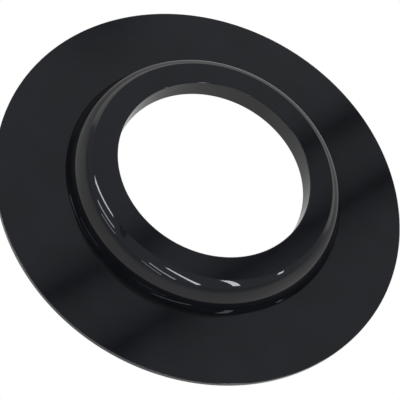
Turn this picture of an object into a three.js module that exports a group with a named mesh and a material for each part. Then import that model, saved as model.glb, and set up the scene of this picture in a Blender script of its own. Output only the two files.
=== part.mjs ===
// A toilet flange: a hollow moulded collar on a thin round floor disc, with the rubber ring that seals it
// to the soil pipe below, the snap ring that holds that seal, and the flat gasket under the disc.
// Millimetres, +Z up. The origin is on the axis of the bore, level with the underside of the disc.
import * as THREE from "three";

// Driving dimensions.
const DISC_RADIUS = 90;
const DISC_THICKNESS = 2.45;
const TOTAL_HEIGHT = 16.5;
const BORE_RADIUS = 41.9;
const SKIRT_LENGTH = 9.3; // from the collar's top down to the lower end of the bore wall
const WALL = 2.3;
const TOP_FLAT_RADIUS = 52;
const COLLAR_RADIUS = 57.55;
const COLLAR_FOOT_HEIGHT = 5.85; // where the collar's side turns from convex to concave
const FOOT_REACH = 4.2; // how far the foot's fillet runs out over the disc
const GASKET_SEAT_INNER = 66;
const GASKET_SEAT_OUTER = 84;
const GASKET_SEAT_DEPTH = 1;

const EDGE = 0.3; // small edge breaks
const RIM_ROUND = 0.4; // the bore's upper edge
const LIP_ROUND = 0.5; // the bore wall's lower end
const CEILING_ROUND = 1;
const MOUTH_ROUND = 1.5; // lead-in for the pipe
const GAP = 0.3; // between neighbouring pieces

// Derived dimensions.
const SKIRT_END = TOTAL_HEIGHT - SKIRT_LENGTH;
const SKIRT_RADIUS = BORE_RADIUS + WALL;
const CEILING = TOTAL_HEIGHT - WALL;
const CHANNEL_RADIUS = COLLAR_RADIUS - WALL;
const CEILING_FLAT_RADIUS = TOP_FLAT_RADIUS - 1;

// The snap groove round the skirt.
const GROOVE_DEPTH = 0.7;
const GROOVE_LOW = SKIRT_END + 0.8;
const GROOVE_HIGH = GROOVE_LOW + 1.6;

// The retainer and the seal above it.
const RETAINER_LOW = SKIRT_END + 0.25;
const RETAINER_HIGH = GROOVE_HIGH + 0.4;
const RETAINER_RADIUS = SKIRT_RADIUS + 3;
const SEAL_LOW = RETAINER_HIGH + GAP;
const SEAL_RIDGE_DROP = 1.5;
const SEAL_INNER_RIDGE = 50;
const SEAL_OUTER_RIDGE = 52.7;
const SEAL_RIDGE_HALF_WIDTH = 0.9;
const SEAL_RIDGE_ROUND = 0.4;

const SEGMENTS = 64;

const point = (r, z) => new THREE.Vector2(r, z);

// Points on an ellipse's arc in the (r, z) plane, ends included; angles in degrees from +r towards +z.
function arc(r, z, radiusR, radiusZ, from, to, steps) {
  return Array.from({ length: steps + 1 }, (_, i) => {
    const angle = THREE.MathUtils.degToRad(from + ((to - from) * i) / steps);
    return point(r + radiusR * Math.cos(angle), z + radiusZ * Math.sin(angle));
  });
}

// A ring turned about the Z axis from a closed outline that runs anticlockwise in the (r, z) plane.
function turned(name, outline, color, roughness) {
  const geometry = new THREE.LatheGeometry([...outline, outline[0]], SEGMENTS);
  geometry.rotateX(Math.PI / 2);
  const material = new THREE.MeshStandardMaterial({ color, roughness, metalness: 0 });
  const mesh = new THREE.Mesh(geometry, material);
  mesh.name = name;
  return mesh;
}

// The disc's outer edge.
function discOutline() {
  return [
    point(DISC_RADIUS - EDGE, 0),
    point(DISC_RADIUS, EDGE),
    point(DISC_RADIUS, DISC_THICKNESS - EDGE),
    point(DISC_RADIUS - EDGE, DISC_THICKNESS),
  ];
}

// The collar's side: a concave fillet up from the disc, then a convex quarter up to the flat top.
function collarOutline() {
  const footCentre = COLLAR_RADIUS + FOOT_REACH;
  const footRise = COLLAR_FOOT_HEIGHT - DISC_THICKNESS;
  const shoulderReach = COLLAR_RADIUS - TOP_FLAT_RADIUS;
  const shoulderRise = TOTAL_HEIGHT - COLLAR_FOOT_HEIGHT;
  return [
    ...arc(footCentre, COLLAR_FOOT_HEIGHT, FOOT_REACH, footRise, 270, 180, 5),
    ...arc(TOP_FLAT_RADIUS, COLLAR_FOOT_HEIGHT, shoulderReach, shoulderRise, 0, 90, 9).slice(1),
  ];
}

// The bore wall, which hangs as a skirt inside the collar, with the snap groove on its outer side.
function skirtOutline() {
  const grooveRadius = SKIRT_RADIUS - GROOVE_DEPTH;
  return [
    ...arc(BORE_RADIUS + RIM_ROUND, TOTAL_HEIGHT - RIM_ROUND, RIM_ROUND, RIM_ROUND, 90, 180, 3),
    ...arc(BORE_RADIUS + LIP_ROUND, SKIRT_END + LIP_ROUND, LIP_ROUND, LIP_ROUND, 180, 270, 2),
    ...arc(SKIRT_RADIUS - LIP_ROUND, SKIRT_END + LIP_ROUND, LIP_ROUND, LIP_ROUND, 270, 360, 2),
    point(SKIRT_RADIUS, GROOVE_LOW),
    point(grooveRadius, GROOVE_LOW),
    point(grooveRadius, GROOVE_HIGH),
    point(SKIRT_RADIUS, GROOVE_HIGH),
  ];
}

// The channel's ceiling and outer wall, open below with a lead-in for the pipe.
function channelOutline() {
  const ceilingCentre = SKIRT_RADIUS + CEILING_ROUND;
  const shoulderReach = CHANNEL_RADIUS - CEILING_FLAT_RADIUS;
  const shoulderRise = CEILING - COLLAR_FOOT_HEIGHT;
  const mouthCentre = CHANNEL_RADIUS + MOUTH_ROUND;
  return [
    ...arc(ceilingCentre, CEILING - CEILING_ROUND, CEILING_ROUND, CEILING_ROUND, 180, 90, 2),
    ...arc(CEILING_FLAT_RADIUS, COLLAR_FOOT_HEIGHT, shoulderReach, shoulderRise, 90, 0, 6),
    ...arc(mouthCentre, MOUTH_ROUND, MOUTH_ROUND, MOUTH_ROUND, 180, 270, 3),
  ];
}

// The shallow seat for the gasket, in the underside of the disc.
function gasketSeatOutline() {
  return [
    point(GASKET_SEAT_INNER, 0),
    point(GASKET_SEAT_INNER, GASKET_SEAT_DEPTH),
    point(GASKET_SEAT_OUTER, GASKET_SEAT_DEPTH),
    point(GASKET_SEAT_OUTER, 0),
  ];
}

function flangeShell() {
  const outline = [
    ...discOutline(),
    ...collarOutline(),
    ...skirtOutline(),
    ...channelOutline(),
    ...gasketSeatOutline(),
  ];
  return turned("flange_shell", outline, 0x141517, 0.12);
}

// A rubber ring that fills the top of the channel, with two ridges below for the pipe's end to bear on.
function pipeSeal() {
  const inner = SKIRT_RADIUS + GAP;
  const top = CEILING - GAP;
  const shoulderReach = CHANNEL_RADIUS - CEILING_FLAT_RADIUS - GAP;
  const shoulderRise = top - COLLAR_FOOT_HEIGHT;
  const lowest = THREE.MathUtils.radToDeg(Math.asin((SEAL_LOW - COLLAR_FOOT_HEIGHT) / shoulderRise));
  const ridgeCentre = SEAL_LOW - SEAL_RIDGE_DROP + SEAL_RIDGE_ROUND;
  const ridge = (radius) => [
    point(radius - SEAL_RIDGE_HALF_WIDTH, SEAL_LOW),
    ...arc(radius, ridgeCentre, SEAL_RIDGE_ROUND, SEAL_RIDGE_ROUND, 200, 340, 2),
    point(radius + SEAL_RIDGE_HALF_WIDTH, SEAL_LOW),
  ];
  const outline = [
    point(inner, SEAL_LOW),
    ...ridge(SEAL_INNER_RIDGE),
    ...ridge(SEAL_OUTER_RIDGE),
    ...arc(
      CEILING_FLAT_RADIUS,
      COLLAR_FOOT_HEIGHT,
      shoulderReach,
      shoulderRise,
      lowest,
      90,
      5,
    ),
    point(inner + CEILING_ROUND, top),
    point(inner, top - CEILING_ROUND),
  ];
  return turned("pipe_seal", outline, 0x1a1a1b, 0.8);
}

// A snap ring with a bead that sits in the skirt's groove and keeps the seal from being drawn out.
function sealRetainer() {
  const inner = SKIRT_RADIUS + GAP;
  const beadRadius = SKIRT_RADIUS - GROOVE_DEPTH + GAP;
  const outline = [
    point(inner, RETAINER_LOW),
    point(RETAINER_RADIUS - EDGE, RETAINER_LOW),
    point(RETAINER_RADIUS, RETAINER_LOW + EDGE),
    point(RETAINER_RADIUS, RETAINER_HIGH - EDGE),
    point(RETAINER_RADIUS - EDGE, RETAINER_HIGH),
    point(inner, RETAINER_HIGH),
    point(inner, GROOVE_HIGH - GAP),
    point(beadRadius, GROOVE_HIGH - 2 * GAP),
    point(beadRadius, GROOVE_LOW + 2 * GAP),
    point(inner, GROOVE_LOW + GAP),
  ];
  return turned("seal_retainer", outline, 0x2b2c2e, 0.45);
}

// A flat rubber ring that lies in its seat, flush with the underside of the disc.
function floorGasket() {
  const inner = GASKET_SEAT_INNER + GAP;
  const outer = GASKET_SEAT_OUTER - GAP;
  const top = GASKET_SEAT_DEPTH - GAP;
  const outline = [point(inner, 0), point(outer, 0), point(outer, top), point(inner, top)];
  return turned("floor_gasket", outline, 0x232425, 0.9);
}

const flange = new THREE.Group();
flange.add(flangeShell(), pipeSeal(), sealRetainer(), floorGasket());

export default flange;
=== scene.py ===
import math

import bmesh
import bpy
from mathutils import Matrix, Vector

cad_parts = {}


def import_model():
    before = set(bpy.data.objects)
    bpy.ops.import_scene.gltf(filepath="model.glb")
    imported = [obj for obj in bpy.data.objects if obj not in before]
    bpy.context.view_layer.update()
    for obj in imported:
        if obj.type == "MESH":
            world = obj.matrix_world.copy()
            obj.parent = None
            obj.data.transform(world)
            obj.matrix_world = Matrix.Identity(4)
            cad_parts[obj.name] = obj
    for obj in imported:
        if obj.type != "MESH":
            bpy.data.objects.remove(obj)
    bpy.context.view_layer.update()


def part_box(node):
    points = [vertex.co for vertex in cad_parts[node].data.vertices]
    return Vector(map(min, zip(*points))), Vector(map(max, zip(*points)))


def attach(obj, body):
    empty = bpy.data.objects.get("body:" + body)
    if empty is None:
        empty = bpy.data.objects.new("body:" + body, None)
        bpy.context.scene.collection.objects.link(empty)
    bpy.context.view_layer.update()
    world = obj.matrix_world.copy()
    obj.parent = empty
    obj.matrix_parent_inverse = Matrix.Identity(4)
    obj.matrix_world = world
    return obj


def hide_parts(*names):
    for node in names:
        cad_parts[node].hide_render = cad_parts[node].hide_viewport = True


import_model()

# ---------------------------------------------------------------- sizes

MM = 0.001
STEPS_ROUND = 384  # faces round each ring
HOLD = 0.06 * MM  # from the end of a straight to its support loop, so that flats shade flat
SMALL_ROUND = 0.12 * MM  # on corners that the CAD leaves sharp
NEARLY = 1e-6  # lengths under this are no length at all

# The flange's own sizes that its box can't give, as in the CAD source.
TOP_FLAT_RADIUS = 52 * MM
COLLAR_RADIUS = 57.55 * MM
COLLAR_FOOT_HEIGHT = 5.85 * MM
FOOT_REACH = 4.2 * MM
DISC_THICKNESS = 2.45 * MM
WALL = 2.3 * MM
SKIRT_LENGTH = 9.3 * MM
BORE_RADIUS = 41.9 * MM
GASKET_SEAT_INNER = 66 * MM
GASKET_SEAT_OUTER = 84 * MM
GASKET_SEAT_DEPTH = 1 * MM
GROOVE_DEPTH = 0.7 * MM
EDGE = 0.3 * MM
RIM_ROUND = 0.4 * MM
LIP_ROUND = 0.5 * MM
CEILING_ROUND = 1 * MM
MOUTH_ROUND = 1.5 * MM
GAP = 0.3 * MM

shell_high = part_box("flange_shell")[1]
seal_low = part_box("pipe_seal")[0]
retainer_low, retainer_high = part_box("seal_retainer")
gasket_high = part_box("floor_gasket")[1]
DISC_RADIUS = shell_high.x
TOTAL_HEIGHT = shell_high.z
SKIRT_END = TOTAL_HEIGHT - SKIRT_LENGTH
SKIRT_RADIUS = BORE_RADIUS + WALL
CEILING = TOTAL_HEIGHT - WALL
CHANNEL_RADIUS = COLLAR_RADIUS - WALL
CEILING_FLAT_RADIUS = TOP_FLAT_RADIUS - 1 * MM
GROOVE_LOW = SKIRT_END + 0.8 * MM
GROOVE_HIGH = GROOVE_LOW + 1.6 * MM

# The pipe seal's ridges, and the grooves in the gasket's lower face.
RIDGE_RADII = (50 * MM, 52.7 * MM)
RIDGE_ROOT = 0.95 * MM  # half its width where it leaves the seal
RIDGE_TIP = 0.28 * MM  # half its width at the tip
GASKET_GROOVES = 5
GASKET_GROOVE_DEPTH = 0.16 * MM
GASKET_GROOVE_WIDTH = 0.5 * MM

# How far the shading normal on the outside of the collar leans out from straight up, in degrees: a crease
# beside the flat top, a steep side that levels off, and a foot that ends in a crease this far out.
SHOULDER_CREASE = 26.0
STEEP_FROM = 50.0
STEEPEST = 68.0
FOOT_STEEPEST = 66.0
FOOT_CREASE = 29.1
FOOT_CREASE_REACH = 3.1 * MM


# ---------------------------------------------------------------- outlines, in the (r, z) plane

def arc(r, z, radius_r, radius_z, start, stop, steps):
    """Points on an ellipse's arc, ends included; angles in degrees from +r towards +z."""
    points = []
    for i in range(steps + 1):
        a = math.radians(start + (stop - start) * i / steps)
        points.append((r + radius_r * math.cos(a), z + radius_z * math.sin(a)))
    return points


def rounded(corners, steps=5):
    """A closed outline from (r, z, radius) corners, each corner turned on its own radius."""
    points = []
    count = len(corners)
    for i, (r, z, radius) in enumerate(corners):
        here = Vector((r, z))
        if radius <= 0:
            points.append((r, z))
            continue
        back = Vector(corners[i - 1][:2]) - here
        ahead = Vector(corners[(i + 1) % count][:2]) - here
        half = back.angle(ahead) / 2
        longest = 0.45 * min(back.length, ahead.length)  # leaves some of each side straight
        reach = min(radius / math.tan(half), longest)
        back.normalize()
        ahead.normalize()
        centre = here + (back + ahead).normalized() * (reach / math.cos(half))
        first = here + back * reach - centre
        last = here + ahead * reach - centre
        turn = first.angle_signed(last)
        for k in range(steps + 1):
            a = -turn * k / steps
            c, s = math.cos(a), math.sin(a)
            points.append((centre.x + first.x * c - first.y * s, centre.y + first.x * s + first.y * c))
    return points


def held(outline):
    """The outline with a support point near each end of every long straight."""
    points = []
    for i, (r, z) in enumerate(outline):
        next_r, next_z = outline[(i + 1) % len(outline)]
        along = Vector((next_r - r, next_z - z))
        if along.length < NEARLY:
            continue
        points.append((r, z))
        if along.length > 6 * HOLD:
            step = along * (HOLD / along.length)
            points.append((r + step.x, z + step.y))
            points.append((next_r - step.x, next_z - step.y))
    return points


def disc_outline():
    return rounded([
        (GASKET_SEAT_OUTER, 0, 0),
        (DISC_RADIUS, 0, EDGE),
        (DISC_RADIUS, DISC_THICKNESS, EDGE),
        (COLLAR_RADIUS + FOOT_REACH, DISC_THICKNESS, 0),
    ], 6)[1:-1]


def collar_outline():
    """A concave foot up from the disc, then a convex quarter up to the flat top."""
    foot = arc(
        COLLAR_RADIUS + FOOT_REACH, COLLAR_FOOT_HEIGHT,
        FOOT_REACH, COLLAR_FOOT_HEIGHT - DISC_THICKNESS, 270, 180, steps=20,
    )
    shoulder = arc(
        TOP_FLAT_RADIUS, COLLAR_FOOT_HEIGHT,
        COLLAR_RADIUS - TOP_FLAT_RADIUS, TOTAL_HEIGHT - COLLAR_FOOT_HEIGHT, 0, 90, steps=40,
    )
    return foot + shoulder[1:]


def skirt_outline():
    """The bore's wall, down inside and up outside, with the snap groove on its outer side."""
    inner, outer = BORE_RADIUS + LIP_ROUND, SKIRT_RADIUS - LIP_ROUND
    points = arc(BORE_RADIUS + RIM_ROUND, TOTAL_HEIGHT - RIM_ROUND, RIM_ROUND, RIM_ROUND, 90, 180, steps=8)
    points += arc(inner, SKIRT_END + LIP_ROUND, LIP_ROUND, LIP_ROUND, 180, 270, steps=8)
    points += arc(outer, SKIRT_END + LIP_ROUND, LIP_ROUND, LIP_ROUND, 270, 360, steps=8)
    groove_radius = SKIRT_RADIUS - GROOVE_DEPTH
    points += rounded([
        (SKIRT_RADIUS, SKIRT_END + LIP_ROUND, 0),
        (SKIRT_RADIUS, GROOVE_LOW, SMALL_ROUND),
        (groove_radius, GROOVE_LOW, SMALL_ROUND),
        (groove_radius, GROOVE_HIGH, SMALL_ROUND),
        (SKIRT_RADIUS, GROOVE_HIGH, SMALL_ROUND),
        (SKIRT_RADIUS, CEILING - CEILING_ROUND, 0),
    ])[1:-1]
    return points


def channel_outline():
    """The ceiling and outer wall of the channel that the pipe goes up into."""
    points = arc(
        SKIRT_RADIUS + CEILING_ROUND, CEILING - CEILING_ROUND,
        CEILING_ROUND, CEILING_ROUND, 180, 90, steps=8,
    )
    points += arc(
        CEILING_FLAT_RADIUS, COLLAR_FOOT_HEIGHT,
        CHANNEL_RADIUS - CEILING_FLAT_RADIUS, CEILING - COLLAR_FOOT_HEIGHT, 90, 0, steps=24,
    )
    points += arc(CHANNEL_RADIUS + MOUTH_ROUND, MOUTH_ROUND, MOUTH_ROUND, MOUTH_ROUND, 180, 270, steps=10)
    return points


def gasket_seat_outline():
    return rounded([
        (CHANNEL_RADIUS + MOUTH_ROUND, 0, 0),
        (GASKET_SEAT_INNER, 0, SMALL_ROUND),
        (GASKET_SEAT_INNER, GASKET_SEAT_DEPTH, SMALL_ROUND),
        (GASKET_SEAT_OUTER, GASKET_SEAT_DEPTH, SMALL_ROUND),
        (GASKET_SEAT_OUTER, 0, SMALL_ROUND),
        (DISC_RADIUS - EDGE, 0, 0),
    ])[1:-1]


def shell_outline():
    return disc_outline() + collar_outline() + skirt_outline() + channel_outline() + gasket_seat_outline()


def seal_outline():
    inner = SKIRT_RADIUS + GAP
    top = CEILING - GAP
    low = retainer_high.z + GAP
    rise = top - COLLAR_FOOT_HEIGHT
    lowest = math.degrees(math.asin((low - COLLAR_FOOT_HEIGHT) / rise))
    corners = [(inner, low, 0.15 * MM)]
    for ridge in RIDGE_RADII:
        corners += [
            (ridge - RIDGE_ROOT, low, 0.25 * MM),
            (ridge - RIDGE_TIP, seal_low.z, 0.26 * MM),
            (ridge + RIDGE_TIP, seal_low.z, 0.26 * MM),
            (ridge + RIDGE_ROOT, low, 0.25 * MM),
        ]
    curve = arc(
        CEILING_FLAT_RADIUS, COLLAR_FOOT_HEIGHT,
        CHANNEL_RADIUS - CEILING_FLAT_RADIUS - GAP, rise, lowest, 90, steps=20,
    )
    corners += [(*curve[0], SMALL_ROUND)]
    corners += [(r, z, 0) for r, z in curve[1:]]
    corners += [(inner + CEILING_ROUND, top, 0.2 * MM), (inner, top - CEILING_ROUND, 0.2 * MM)]
    return rounded(corners, 4)


def retainer_outline():
    inner, outer = SKIRT_RADIUS + GAP, retainer_high.x
    bead = SKIRT_RADIUS - GROOVE_DEPTH + GAP
    low, high = retainer_low.z, retainer_high.z
    return rounded([
        (inner, low, 0.1 * MM),
        (outer, low, 0.25 * MM),
        (outer, high, 0.25 * MM),
        (inner, high, 0.1 * MM),
        (inner, GROOVE_HIGH - GAP, 0.05 * MM),
        (bead, GROOVE_HIGH - 2 * GAP, 0.1 * MM),
        (bead, GROOVE_LOW + 2 * GAP, 0.1 * MM),
        (inner, GROOVE_LOW + GAP, 0.05 * MM),
    ], 4)


def gasket_outline():
    """A flat ring whose lower face has shallow concentric grooves."""
    inner, outer = GASKET_SEAT_INNER + GAP, gasket_high.x
    top = gasket_high.z
    pitch = (outer - inner) / (GASKET_GROOVES + 1)
    corners = [(inner, 0, SMALL_ROUND)]
    for i in range(GASKET_GROOVES):
        middle = inner + pitch * (i + 1)
        corners += [
            (middle - GASKET_GROOVE_WIDTH, 0, 0.08 * MM),
            (middle - GASKET_GROOVE_WIDTH / 2, GASKET_GROOVE_DEPTH, 0.08 * MM),
            (middle + GASKET_GROOVE_WIDTH / 2, GASKET_GROOVE_DEPTH, 0.08 * MM),
            (middle + GASKET_GROOVE_WIDTH, 0, 0.08 * MM),
        ]
    corners += [(outer, 0, SMALL_ROUND), (outer, top, SMALL_ROUND), (inner, top, SMALL_ROUND)]
    return rounded(corners, 3)


# ---------------------------------------------------------------- meshes

def around(r, z):
    """The points of one ring about Z."""
    turns = [2 * math.pi * k / STEPS_ROUND for k in range(STEPS_ROUND)]
    return [(r * math.cos(a), r * math.sin(a), z) for a in turns]


def turned(name, outline, normal_at=None):
    """A smooth ring turned about Z from a closed outline. normal_at may change a point's shading normal."""
    points = held(outline)
    work = bmesh.new()
    rings = [[work.verts.new(place) for place in around(r, z)] for r, z in points]
    for i, ring in enumerate(rings):
        following = rings[(i + 1) % len(rings)]
        for k in range(STEPS_ROUND):
            n = (k + 1) % STEPS_ROUND
            work.faces.new((ring[k], ring[n], following[n], following[k]))
    bmesh.ops.recalc_face_normals(work, faces=work.faces)
    for face in work.faces:
        face.smooth = True
    mesh = bpy.data.meshes.new(name)
    work.to_mesh(mesh)
    work.free()
    if normal_at:
        mesh.normals_split_custom_set_from_vertices(ring_normals(points, normal_at))
    piece = bpy.data.objects.new(name, mesh)
    bpy.context.scene.collection.objects.link(piece)
    return piece


def ring_normals(points, normal_at):
    """One shading normal for each vertex of a turned ring, round each ring in turn."""
    normals = []
    for i, (r, z) in enumerate(points):
        before = Vector(points[i - 1]) - Vector((r, z))
        after = Vector(points[(i + 1) % len(points)]) - Vector((r, z))
        across = (after.normalized() - before.normalized()).normalized()
        normals += around(*normal_at(r, z, across.y, -across.x))
    return normals


def shell_normal(r, z, normal_r, normal_z):
    """The shading normal of a point on the shell: its own, except on the outside of the collar."""
    outside = r > TOP_FLAT_RADIUS and normal_r > 0 and normal_z > -0.01
    if not outside or r > COLLAR_RADIUS + FOOT_REACH or z < DISC_THICKNESS - NEARLY:
        return normal_r, normal_z
    if r > COLLAR_RADIUS - NEARLY and z < COLLAR_FOOT_HEIGHT + NEARLY:
        reach = r - COLLAR_RADIUS
        if reach > FOOT_CREASE_REACH:
            return 0.0, 1.0
        tilt = FOOT_STEEPEST + (FOOT_CREASE - FOOT_STEEPEST) * reach / FOOT_CREASE_REACH
    else:
        tilt = math.degrees(math.atan2(normal_r, normal_z))
        if tilt > STEEP_FROM:
            tilt = STEEP_FROM + (tilt - STEEP_FROM) * (STEEPEST - STEEP_FROM) / (90 - STEEP_FROM)
        else:
            tilt = SHOULDER_CREASE + tilt * (1 - SHOULDER_CREASE / STEEP_FROM)
    a = math.radians(tilt)
    return math.sin(a), math.cos(a)


# ---------------------------------------------------------------- materials

class Nodes:
    """Short calls for building one node tree."""

    def __init__(self, tree):
        self.tree = tree
        tree.nodes.clear()

    def fill(self, socket, value):
        """Links value to the socket, or sets it where it is a plain number or colour."""
        if isinstance(value, bpy.types.NodeSocket):
            self.tree.links.new(value, socket)
        else:
            socket.default_value = value

    def add(self, kind, inputs=(), **settings):
        made = self.tree.nodes.new("ShaderNode" + kind)
        for key, value in settings.items():
            setattr(made, key, value)
        for key, value in dict(inputs).items():
            self.fill(made.inputs[key], value)
        return made

    def math(self, operation, *values):
        return self.add("Math", enumerate(values), operation=operation).outputs[0]

    def ramp(self, value, low, high, to_low=0.0, to_high=1.0):
        """value eased from (low, high) to (to_low, to_high)."""
        made = self.add("MapRange", {
            "Value": value, "From Min": low, "From Max": high, "To Min": to_low, "To Max": to_high,
        }, interpolation_type="SMOOTHSTEP")
        return made.outputs["Result"]

    def noise(self, place, scale, detail, roughness=0.5):
        made = self.add("TexNoise", {
            "Vector": place, "Scale": scale, "Detail": detail, "Roughness": roughness,
        })
        return made.outputs["Fac"]

    def blend(self, factor, first, second):
        made = self.add("Mix", data_type="RGBA")
        factor_socket, first_socket, second_socket = (made.inputs[i] for i in (0, 6, 7))
        self.fill(factor_socket, factor)
        self.fill(first_socket, first)
        self.fill(second_socket, second)
        return made.outputs[2]

    def bump(self, height, distance, strength=1.0, below=None):
        inputs = {"Height": height, "Distance": distance, "Strength": strength}
        if below is not None:
            inputs["Normal"] = below
        return self.add("Bump", inputs).outputs["Normal"]

    def height_and_radius(self, place):
        """The height of a place, and its distance from the Z axis."""
        x, y, z = self.add("SeparateXYZ", {"Vector": place}).outputs
        squares = self.math("ADD", self.math("MULTIPLY", x, x), self.math("MULTIPLY", y, y))
        return z, self.math("SQRT", squares)

    def object_place(self):
        return self.add("TexCoord").outputs["Object"]

    def end(self, shader):
        self.add("OutputMaterial", {"Surface": shader.outputs[0]})


def grey(value):
    return (value, value, value, 1.0)


def cold_grey(value):
    return (value, value * 1.07, value * 1.53, 1.0)


def new_material(name):
    """A material, the calls for its node tree, and a place on the piece."""
    material = bpy.data.materials.new(name)
    material.use_nodes = True
    n = Nodes(material.node_tree)
    return material, n, n.object_place()


# Where painted shade cuts down the shell's clear coat and so its reflection: up to this height and between
# these radii, each with its soft edge. That is the crevice at the collar's foot, and the part of the disc's
# underside that lies below it.
PAINTED_SHADE_TOP = (COLLAR_FOOT_HEIGHT - 0.5 * MM, COLLAR_FOOT_HEIGHT + 0.35 * MM)
PAINTED_SHADE_INNER = (COLLAR_RADIUS - 0.6 * MM, COLLAR_RADIUS - 0.3 * MM)
PAINTED_SHADE_OUTER = (COLLAR_RADIUS + 3.15 * MM, COLLAR_RADIUS + 3.75 * MM)
PAINTED_SHADE_STRENGTH = 0.90


def moulded_black():
    """Glossy black moulding: a dark body under a clear skin, with painted shade round the collar's foot."""
    material, n, place = new_material("moulded_black")
    z, radius = n.height_and_radius(place)
    # painted shade: the clear coat is thinned in the crevice at the collar's foot and on the underside below
    # it, so the reflection darkens there
    below = n.ramp(z, *PAINTED_SHADE_TOP, 1, 0)
    beyond = n.ramp(radius, *PAINTED_SHADE_INNER)
    within = n.ramp(radius, *PAINTED_SHADE_OUTER, 1, 0)
    crevice_shade = n.math("MULTIPLY", n.math("MULTIPLY", below, beyond), within)
    painted_shade = n.math("MULTIPLY", crevice_shade, PAINTED_SHADE_STRENGTH)
    # faint unevenness of the colour and the gloss, dust, and a paler edge where the rim has rubbed
    clouds = n.noise(place, scale=55, detail=4, roughness=0.55)
    specks = n.noise(place, scale=2600, detail=2, roughness=0.6)
    colour = n.blend(n.ramp(clouds, 0.35, 0.65), cold_grey(0.0025), cold_grey(0.0040))
    dust = n.math("MULTIPLY", n.ramp(specks, 0.74, 0.80), 0.35)
    colour = n.blend(dust, colour, grey(0.03))
    rim = n.math("MULTIPLY", n.ramp(radius, DISC_RADIUS - 0.5 * MM, DISC_RADIUS), n.ramp(clouds, 0.5, 0.62))
    colour = n.blend(n.math("MULTIPLY", rim, 0.4), colour, grey(0.035))
    gloss = n.ramp(clouds, 0.3, 0.7, 0.97, 1.0)
    # the slight ripple of a moulded face
    ripple = n.noise(place, scale=160, detail=2, roughness=0.4)
    fine = n.noise(place, scale=900, detail=2)
    normal = n.bump(ripple, 0.012 * MM, 0.5)
    normal = n.bump(fine, 0.0008 * MM, 0.5, normal)
    n.end(n.add("BsdfPrincipled", {
        "Base Color": colour,
        "Roughness": n.ramp(clouds, 0.3, 0.7, 0.42, 0.52),
        "Specular IOR Level": 0.01,
        "Normal": normal,
        "Coat Weight": n.math("MULTIPLY", gloss, n.math("SUBTRACT", 1.0, painted_shade)),
        "Coat Roughness": 0.035,
        "Coat IOR": 1.5,
        "Coat Normal": normal,
    }))
    return material


def rubber(name, tone, grain, roughness):
    """Matt rubber with a fine grain, faint bloom and a little dust."""
    material, n, place = new_material(name)
    clouds = n.noise(place, scale=70, detail=4, roughness=0.6)
    grains = n.noise(place, scale=grain, detail=3, roughness=0.6)
    colour = n.blend(n.ramp(clouds, 0.35, 0.65), grey(tone), grey(tone * 1.6))
    dust = n.math("MULTIPLY", n.ramp(grains, 0.68, 0.78), 0.5)
    n.end(n.add("BsdfPrincipled", {
        "Base Color": n.blend(dust, colour, grey(tone * 4)),
        "Roughness": n.ramp(clouds, 0.3, 0.7, roughness - 0.06, roughness + 0.06),
        "Specular IOR Level": 0.4,
        "Normal": n.bump(grains, 0.03 * MM, 0.6),
    }))
    return material


def satin_plastic():
    """Satin plastic with the fine turned rings of its mould."""
    ring_pitch = 0.22 * MM
    material, n, place = new_material("retainer_plastic")
    radius = n.height_and_radius(place)[1]
    rings = n.math("SINE", n.math("MULTIPLY", radius, 2 * math.pi / ring_pitch))
    clouds = n.noise(place, scale=90, detail=3)
    normal = n.bump(rings, 0.004 * MM, 0.5)
    normal = n.bump(n.noise(place, scale=1500, detail=2), 0.01 * MM, 0.5, normal)
    n.end(n.add("BsdfPrincipled", {
        "Base Color": n.blend(n.ramp(clouds, 0.35, 0.65), grey(0.020), grey(0.030)),
        "Roughness": n.ramp(clouds, 0.3, 0.7, 0.38, 0.5),
        "Specular IOR Level": 0.5,
        "Normal": normal,
    }))
    return material


# ---------------------------------------------------------------- surroundings
# Azimuths are in degrees from +X towards +Y, elevations in degrees above the horizon.

WHITE = (1, 1, 1, 1)

# The tent of diffuse panels overhead, and what lies below the horizon, on the camera's side and beyond.
TENT = (0.432, 0.452, 0.485, 1)
TENT_BELOW = grey(0.68)
FAR_BELOW = grey(0.34)
HORIZON = (-0.06, 0.06)
FAR_SIDE = (-0.1, 0.65)  # how far round towards +Y the farther side takes over below
BENEATH = (-0.78, -0.66)  # nearly straight below, the nearer side's radiance comes back

# Where the tent is darker: a band above the horizon, the gaps between its panels, and one corner. A gap lies
# across the plane whose normal is given. Depths are taken from the tent's radiance.
GAPS_FROM = (0.35, 0.6)  # the heights over which the gaps and the corner come in
TENT_FOOT = {"elevation": 8, "half_height": 0.055, "depth": 0.11}
PANEL_GAPS = (
    {"azimuth": -25.5, "elevation": 10.9, "width": 0.020, "depth": 0.335, "steepness": 1.15},
    {"azimuth": -25.0, "elevation": 15.2, "width": 0.019, "depth": 0.305, "steepness": 1.35},
)
SHADED_CORNER = {"azimuth": 106, "elevation": 49, "size": 0.044, "depth": 0.30}

# The large soft panel behind the object, upright. Its edges are shares of its distance.
BACK_PANEL_AZIMUTH = 97
BACK_PANEL_HALF_WIDTH = 1.80
BACK_PANEL_LOW = -0.10
BACK_PANEL_HIGH = 0.88
BACK_PANEL_SOFTNESS = 0.34
BACK_PANEL_FACING = (0.02, 0.15)  # where it fades out at its far ends
BACK_PANEL_RADIANCE = 1.05

# Strip lights round the object: azimuth, elevation, half length and half width in degrees,
# turn of the long side from level, radiance.
STRIPS = {
    "strip_overhead_left": (199, 44.5, 12, 3.8, -132, 9.6),
    "strip_left_high": (219.5, 20, 10.3, 1.7, 13, 5.3),
    "strip_left_low": (226.5, 11, 8, 0.7, 8, 3.2),
    "strip_front_tall": (289.5, 26, 15, 2, -45, 10),
    "strip_front_middle": (274.5, 14, 10.5, 0.9, -21, 6.3),
    "strip_front_low": (267, 8.5, 8, 0.5, -13, 3.7),
    "strip_right_tall": (327, 37, 15, 2.5, -92, 10.5),
    "strip_right_high": (1, 29.5, 4.2, 1.7, 61, 9.8),
}
STRIP_DISTANCE = 4.0
STRIP_DIFFUSE = 0.12
STRIP_COLOUR = (1.09, 1.13, 1.21)
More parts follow.
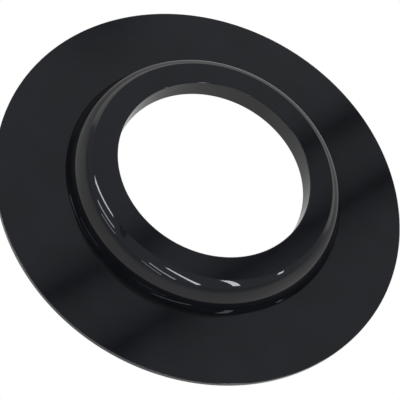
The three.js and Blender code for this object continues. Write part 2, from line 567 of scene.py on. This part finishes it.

# The dark band round the collar: a painted reflection, standing for the collar's mirror image in the disc.
REFLECTION_BAND_RADIUS = COLLAR_RADIUS - 1 * MM
REFLECTION_BAND_TOP = TOTAL_HEIGHT - 0.4 * MM
REFLECTION_BAND_FADE = 12.5 * MM  # above this height the band pales towards its top
REFLECTION_BAND_RADIANCE = 0.08
REFLECTION_BAND_TOP_RADIANCE = 0.20

FLOOR_HALF_SIZE = 6.0
FLOOR_DROP = 0.2 * MM


def direction(azimuth, elevation):
    """The unit vector towards an azimuth and elevation."""
    a, e = math.radians(azimuth), math.radians(elevation)
    return Vector((math.cos(a) * math.cos(e), math.sin(a) * math.cos(e), math.sin(e)))


class Sky(Nodes):
    """The world's node tree, with the direction looked in and its height above the horizon."""

    def __init__(self, tree):
        super().__init__(tree)
        self.toward = self.add("TexCoord").outputs["Generated"]
        self.height = self.dot(Vector((0, 0, 1)))

    def dot(self, vector):
        return self.add("VectorMath", {0: self.toward, 1: vector}, operation="DOT_PRODUCT").outputs["Value"]

    def falling(self, exponent, depth):
        """depth times e to the power of minus the exponent."""
        return self.math("MULTIPLY", self.math("EXPONENT", self.math("MULTIPLY", exponent, -1)), depth)

    def panel_gap(self, azimuth, elevation, width, depth, steepness):
        across = self.math("DIVIDE", self.math("ABSOLUTE", self.dot(direction(azimuth, elevation))), width)
        return self.falling(self.math("POWER", across, steepness), depth)

    def shaded_corner(self, azimuth, elevation, size, depth):
        off = self.math("SUBTRACT", 1.0, self.dot(direction(azimuth, elevation)))
        return self.falling(self.math("MULTIPLY", off, 2 / size ** 2), depth)

    def tent_foot(self, elevation, half_height, depth):
        off = self.math("SUBTRACT", self.height, math.sin(math.radians(elevation)))
        off = self.math("DIVIDE", off, half_height)
        return self.falling(self.math("MULTIPLY", off, off), depth)

    def darker(self):
        """How much darker than its panels the tent is."""
        dark = self.shaded_corner(**SHADED_CORNER)
        for gap in PANEL_GAPS:
            dark = self.math("ADD", dark, self.panel_gap(**gap))
        dark = self.math("MULTIPLY", dark, self.ramp(self.height, *GAPS_FROM))
        return self.math("ADD", dark, self.tent_foot(**TENT_FOOT))

    def back_panel(self):
        """1 on the panel behind the object, and 0 beside it."""
        facing = self.dot(direction(BACK_PANEL_AZIMUTH, 0))
        distance = self.math("MAXIMUM", facing, 0.001)
        sideways = self.math("DIVIDE", self.dot(direction(BACK_PANEL_AZIMUTH - 90, 0)), distance)
        sideways = self.math("ABSOLUTE", sideways)
        upward = self.math("DIVIDE", self.height, distance)
        soft = BACK_PANEL_SOFTNESS
        low, high = BACK_PANEL_LOW, BACK_PANEL_HIGH
        width = self.ramp(sideways, BACK_PANEL_HALF_WIDTH - soft, BACK_PANEL_HALF_WIDTH + soft, 1, 0)
        panel = self.math("MULTIPLY", width, self.ramp(upward, low - soft / 2, low + soft / 2))
        panel = self.math("MULTIPLY", panel, self.ramp(upward, high - soft / 2, high + soft / 2, 1, 0))
        return self.math("MULTIPLY", panel, self.ramp(facing, *BACK_PANEL_FACING))


def world():
    made = bpy.data.worlds.new("studio")
    bpy.context.scene.world = made
    made.use_nodes = True
    sky = Sky(made.node_tree)
    far = sky.ramp(sky.dot(Vector((0, 1, 0))), *FAR_SIDE)
    far = sky.math("MULTIPLY", far, sky.ramp(sky.height, *BENEATH))
    above = sky.ramp(sky.height, *HORIZON)
    colour = sky.blend(above, sky.blend(far, TENT_BELOW, FAR_BELOW), TENT)
    kept = sky.math("SUBTRACT", 1.0, sky.math("DIVIDE", sky.darker(), TENT[1]))
    colour = sky.blend(kept, grey(0), colour)
    colour = sky.blend(sky.back_panel(), colour, grey(BACK_PANEL_RADIANCE))
    seen = sky.add("LightPath").outputs["Is Camera Ray"]
    shine = sky.add("Background", {"Color": sky.blend(seen, colour, WHITE), "Strength": 1.0})
    sky.add("OutputWorld", {"Surface": shine.outputs[0]})


def strip_light(name, azimuth, elevation, half_length, half_width, turn, radiance):
    data = bpy.data.lights.new(name, "AREA")
    data.shape = "RECTANGLE"
    data.size = 2 * STRIP_DISTANCE * math.tan(math.radians(half_length))
    data.size_y = 2 * STRIP_DISTANCE * math.tan(math.radians(half_width))
    data.energy = radiance * math.pi * data.size * data.size_y
    data.diffuse_factor = STRIP_DIFFUSE
    data.color = STRIP_COLOUR
    back = direction(azimuth, elevation)
    level = Vector((0, 0, 1)).cross(back).normalized()
    upward = back.cross(level)
    t = math.radians(turn)
    along = level * math.cos(t) + upward * math.sin(t)
    side = back.cross(along)
    lamp = bpy.data.objects.new(name, data)
    basis = Matrix((along, side, back)).transposed().to_4x4()
    lamp.matrix_world = Matrix.Translation(back * STRIP_DISTANCE) @ basis
    lamp.visible_camera = False
    bpy.context.scene.collection.objects.link(lamp)


def staged(name, corners, faces, strength_at):
    """A glowing sheet of the set, clear from its back. strength_at gives its radiance, given its nodes."""
    mesh = bpy.data.meshes.new(name)
    mesh.from_pydata(corners, [], faces)
    material = bpy.data.materials.new(name)
    material.use_nodes = True
    n = Nodes(material.node_tree)
    glow = n.add("Emission", {"Color": WHITE, "Strength": strength_at(n)})
    clear = n.add("BsdfTransparent")
    behind = n.add("NewGeometry").outputs["Backfacing"]
    n.end(n.add("MixShader", {0: behind, 1: glow.outputs[0], 2: clear.outputs[0]}))
    mesh.materials.append(material)
    sheet = bpy.data.objects.new(name, mesh)
    bpy.context.scene.collection.objects.link(sheet)
    sheet.visible_diffuse = sheet.visible_shadow = False
    return sheet


def painted_reflection_band():
    """A dark upright band round the collar, seen only from outside and only in reflections: a painted
    reflection that stands for the collar's mirror image in the disc."""
    def paling(n):
        z = n.height_and_radius(n.object_place())[0]
        return n.ramp(z, REFLECTION_BAND_FADE, REFLECTION_BAND_TOP, REFLECTION_BAND_RADIANCE, REFLECTION_BAND_TOP_RADIANCE)

    corners = around(REFLECTION_BAND_RADIUS, DISC_THICKNESS) + around(REFLECTION_BAND_RADIUS, REFLECTION_BAND_TOP)
    faces = []
    for k in range(STEPS_ROUND):
        n = (k + 1) % STEPS_ROUND
        faces.append((k, n, n + STEPS_ROUND, k + STEPS_ROUND))
    band = staged("painted_reflection_band", corners, faces, paling)
    band.visible_camera = band.visible_transmission = False


def floor():
    """A pale floor, lit through from below, just under the flange; it can't be seen from beneath."""
    size, z = FLOOR_HALF_SIZE, -FLOOR_DROP
    corners = [(-size, -size, z), (size, -size, z), (size, size, z), (-size, size, z)]
    plane = staged("floor", corners, [(0, 1, 2, 3)], lambda n: 1.0)
    plane.visible_glossy = False


# ---------------------------------------------------------------- the camera

CAMERA_PLACE = Vector((1.28, -260.58, 383.73)) * MM
CAMERA_ELEVATION = 56.636
CAMERA_ROLL = 30.51
CAMERA_LENS = 97
SENSOR_WIDTH = 36
NEAREST, FARTHEST = 0.01, 50


def camera():
    data = bpy.data.cameras.new("camera")
    data.sensor_width = SENSOR_WIDTH
    data.lens = CAMERA_LENS
    data.clip_start, data.clip_end = NEAREST, FARTHEST
    view = bpy.data.objects.new("camera", data)
    pitch = Matrix.Rotation(math.radians(90 - CAMERA_ELEVATION), 4, "X")
    roll = Matrix.Rotation(math.radians(CAMERA_ROLL), 4, "Z")
    view.matrix_world = Matrix.Translation(CAMERA_PLACE) @ pitch @ roll
    bpy.context.scene.collection.objects.link(view)
    bpy.context.scene.camera = view


# ---------------------------------------------------------------- the object

def finished(piece, node, material):
    """Gives a piece its material, and puts it in the place of its CAD node."""
    piece.data.materials.append(material)
    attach(piece, "root")
    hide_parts(node)
    piece.visible_glossy = False  # in the photo the flange doesn't mirror itself


shell = turned("shell", shell_outline(), shell_normal)
finished(shell, "flange_shell", moulded_black())

seal_rubber = rubber("seal_rubber", tone=0.011, grain=1100, roughness=0.62)
finished(turned("seal", seal_outline()), "pipe_seal", seal_rubber)

finished(turned("retainer", retainer_outline()), "seal_retainer", satin_plastic())

gasket_rubber = rubber("gasket_rubber", tone=0.016, grain=700, roughness=0.8)
finished(turned("gasket", gasket_outline()), "floor_gasket", gasket_rubber)

bpy.context.scene.view_settings.view_transform = "Standard"
world()
for strip, facts in STRIPS.items():
    strip_light(strip, *facts)
# painted reflection: a glowing dark band that stands for the collar's mirror image in the disc
painted_reflection_band()
floor()
camera()
